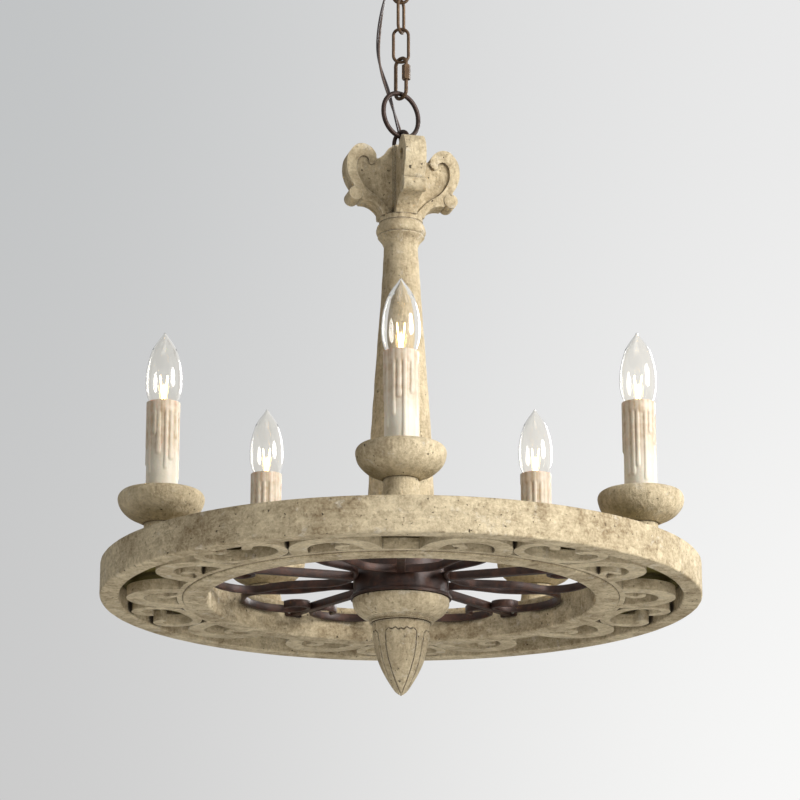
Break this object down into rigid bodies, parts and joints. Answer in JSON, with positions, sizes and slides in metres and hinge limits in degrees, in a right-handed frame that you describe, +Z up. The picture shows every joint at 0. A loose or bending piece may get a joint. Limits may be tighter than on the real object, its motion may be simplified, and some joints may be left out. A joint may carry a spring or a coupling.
{
  "type": "wagon wheel chandelier",
  "caption": "Round wooden wheel carrying candle-style lights on its top face, with scrolled iron spokes, a turned column and a chain up to a ceiling canopy.",
  "frame": {"origin": "centre of the two ceiling screw slots, on the top face of the crossbar, in the ceiling plane", "axes": "+Z up out of the ceiling plate, the chandelier hangs towards -Z, -Y faces the camera and one light, +X to the right"},
  "size_m": [0.5999, 0.6, 0.8393],
  "materials": {
    "wood": "distressed cream paint over wood, matte",
    "board": "olive-brown stain, matte",
    "iron": "rust-brown, satin",
    "bronze": "antique bronze paint with worn edges",
    "plated_steel": "zinc plated",
    "wax": "aged candle wax",
    "phenolic": "matte",
    "bulb_glass": "clear",
    "cap_metal": "satin",
    "cord": "clear and dark twin flex"
  },
  "bodies": {
    "ceiling": {"crossbar": "plated_steel", "canopy_nipple": "plated_steel", "nipple_nut": "plated_steel", "canopy": "bronze", "collar_nut": "bronze", "canopy_loop": "bronze", "lamp_cord": "cord"},
    "link_1": {"chain_link_1": "bronze"},
    "link_2": {"chain_link_2": "bronze"},
    "link_3": {"chain_link_3": "bronze"},
    "quick": {"quick_link": "bronze"},
    "quick_sleeve": {"quick_link_sleeve": "bronze"},
    "ring": {"hanging_ring": "bronze"},
    "chandelier": {"body_loop": "bronze", "capital": "wood", "column": "wood", "centre_rod": "plated_steel", "hub_drum": "iron", "hub_cup": "wood", "finial": "wood", "hub_nut": "plated_steel", "outer_rim": "wood", "inner_ring": "wood", "backing_board": "board", "fretwork": "wood", "spoke_screws": "plated_steel", "candle_nipples": "plated_steel", "sockets": "phenolic", "lyre_spoke_1": "iron", "lyre_spoke_2": "iron", "lyre_spoke_3": "iron", "lyre_spoke_4": "iron", "lyre_spoke_5": "iron", "candle_neck_1": "wood", "candle_neck_2": "wood", "candle_neck_3": "wood", "candle_neck_4": "wood", "candle_neck_5": "wood", "candle_bowl_1": "wood", "candle_bowl_2": "wood", "candle_bowl_3": "wood", "candle_bowl_4": "wood", "candle_bowl_5": "wood", "candle_sleeve_1": "wax", "candle_sleeve_2": "wax", "candle_sleeve_3": "wax", "candle_sleeve_4": "wax", "candle_sleeve_5": "wax"},
    "bulb_1": {"bulb_glass_1": "bulb_glass", "bulb_cap_1": "cap_metal"},
    "bulb_2": {"bulb_glass_2": "bulb_glass", "bulb_cap_2": "cap_metal"},
    "bulb_3": {"bulb_glass_3": "bulb_glass", "bulb_cap_3": "cap_metal"},
    "bulb_4": {"bulb_glass_4": "bulb_glass", "bulb_cap_4": "cap_metal"},
    "bulb_5": {"bulb_glass_5": "bulb_glass", "bulb_cap_5": "cap_metal"}
  },
  "joints": [
    {"name": "link_1_swing", "type": "hinge", "parent": "ceiling", "child": "link_1", "pos_m": [0, 0, -0.0622], "axis": [0, 1, 0], "range_deg": [-20, 20]},
    {"name": "link_2_swing", "type": "hinge", "parent": "link_1", "child": "link_2", "pos_m": [0, 0, -0.0958], "axis": [1, 0, 0], "range_deg": [-20, 20]},
    {"name": "link_3_swing", "type": "hinge", "parent": "link_2", "child": "link_3", "pos_m": [0, 0, -0.1297], "axis": [0.3746, 0.9272, 0], "range_deg": [-20, 20]},
    {"name": "quick_link_swing", "type": "hinge", "parent": "link_3", "child": "quick", "pos_m": [0, 0, -0.1636], "axis": [1, 0, 0], "range_deg": [-20, 20]},
    {"name": "ring_swing", "type": "hinge", "parent": "quick", "child": "ring", "pos_m": [0, 0, -0.2044], "axis": [0.682, -0.7314, 0], "range_deg": [-20, 20]},
    {"name": "chandelier_swing", "type": "hinge", "parent": "ring", "child": "chandelier", "pos_m": [0, 0, -0.2476], "axis": [0.7547, 0.6561, 0], "range_deg": [-20, 20], "deforming": ["lamp_cord"]},
    {"name": "sleeve_travel", "type": "slide", "parent": "quick", "child": "quick_sleeve", "axis": [0, 0, 1], "range_m": [-0.009, 0]},
    {"name": "bulb_1_out", "type": "slide", "parent": "chandelier", "child": "bulb_1", "axis": [0, 0, 1], "range_m": [0, 0.03]},
    {"name": "bulb_2_out", "type": "slide", "parent": "chandelier", "child": "bulb_2", "axis": [0, 0, 1], "range_m": [0, 0.03]},
    {"name": "bulb_3_out", "type": "slide", "parent": "chandelier", "child": "bulb_3", "axis": [0, 0, 1], "range_m": [0, 0.03]},
    {"name": "bulb_4_out", "type": "slide", "parent": "chandelier", "child": "bulb_4", "axis": [0, 0, 1], "range_m": [0, 0.03]},
    {"name": "bulb_5_out", "type": "slide", "parent": "chandelier", "child": "bulb_5", "axis": [0, 0, 1], "range_m": [0, 0.03]}
  ]
}
